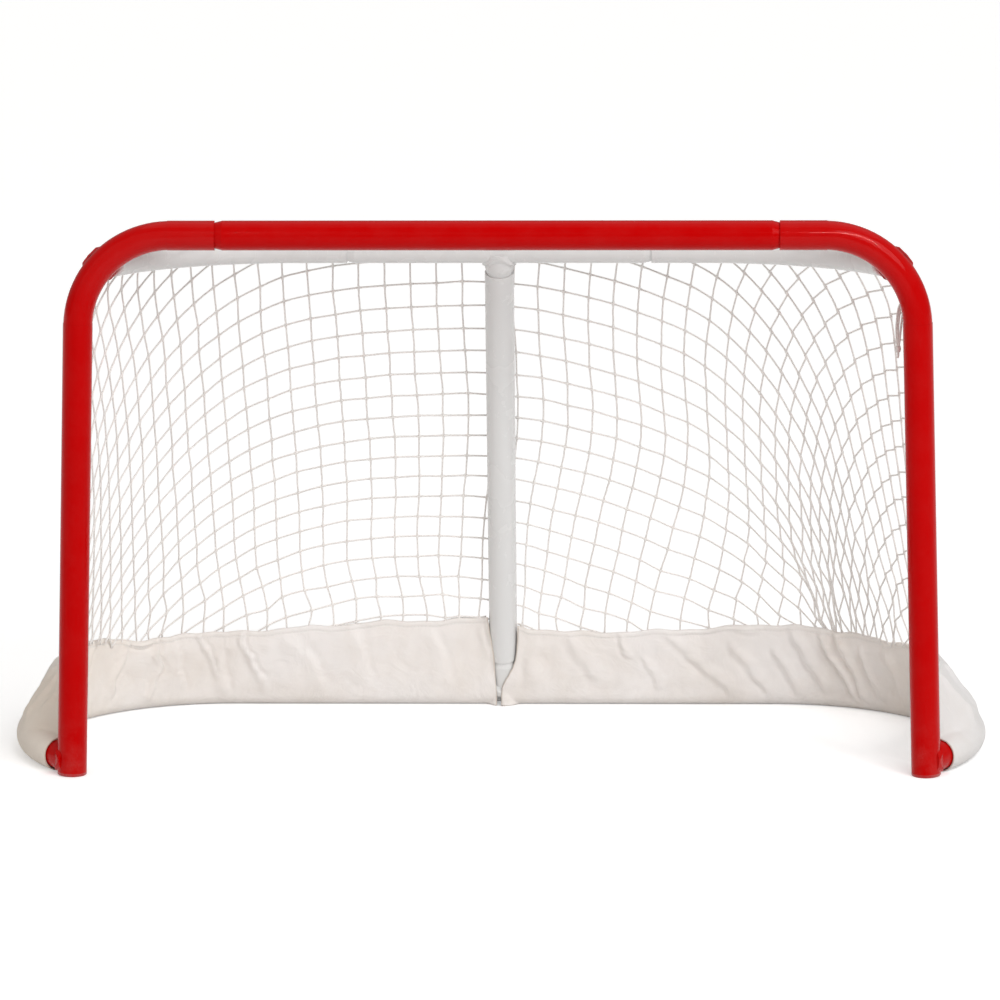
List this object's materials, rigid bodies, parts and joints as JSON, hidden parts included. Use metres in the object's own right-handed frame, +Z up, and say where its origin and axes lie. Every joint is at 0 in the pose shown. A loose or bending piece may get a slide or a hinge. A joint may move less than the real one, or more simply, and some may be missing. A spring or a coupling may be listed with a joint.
{
  "type": "mini hockey goal",
  "caption": "Free-standing knock-down mini hockey goal: red tubular mouth frame, white rear frame with centre post, knotless net bag and canvas skirt round the base rail.",
  "frame": {"origin": "middle of the footprint, on the floor", "axes": "+X along the crossbar, towards the right post as seen by a shooter; -Y out of the mouth; +Z up"},
  "size_m": [0.8726, 0.3143, 0.491],
  "materials": {
    "red_paint": "glossy enamel",
    "white_paint": "satin powder coat",
    "zinc": "zinc plated",
    "red_plastic": "moulded",
    "net_twine": "knotless polyester twine",
    "canvas": "plain canvas"
  },
  "bodies": {
    "root": {"left_post": "red_paint", "right_post": "red_paint", "crossbar": "red_paint", "left_top_corner": "white_paint", "right_top_corner": "white_paint", "top_rail": "white_paint", "top_tee": "white_paint", "centre_post": "white_paint", "base_tee": "white_paint", "base_rail": "white_paint", "left_base_corner": "red_paint", "right_base_corner": "red_paint", "left_post_cap": "red_plastic", "right_post_cap": "red_plastic", "crossbar_screws": "zinc", "top_rail_screws": "zinc", "centre_post_screws": "zinc", "base_rail_screws": "zinc", "left_net_clips": "red_plastic", "right_net_clips": "red_plastic", "crossbar_net_clips": "red_plastic", "net_back": "net_twine", "net_left": "net_twine", "net_right": "net_twine", "net_top": "net_twine", "skirt_left": "canvas", "skirt_right": "canvas"}
  },
  "joints": []
}
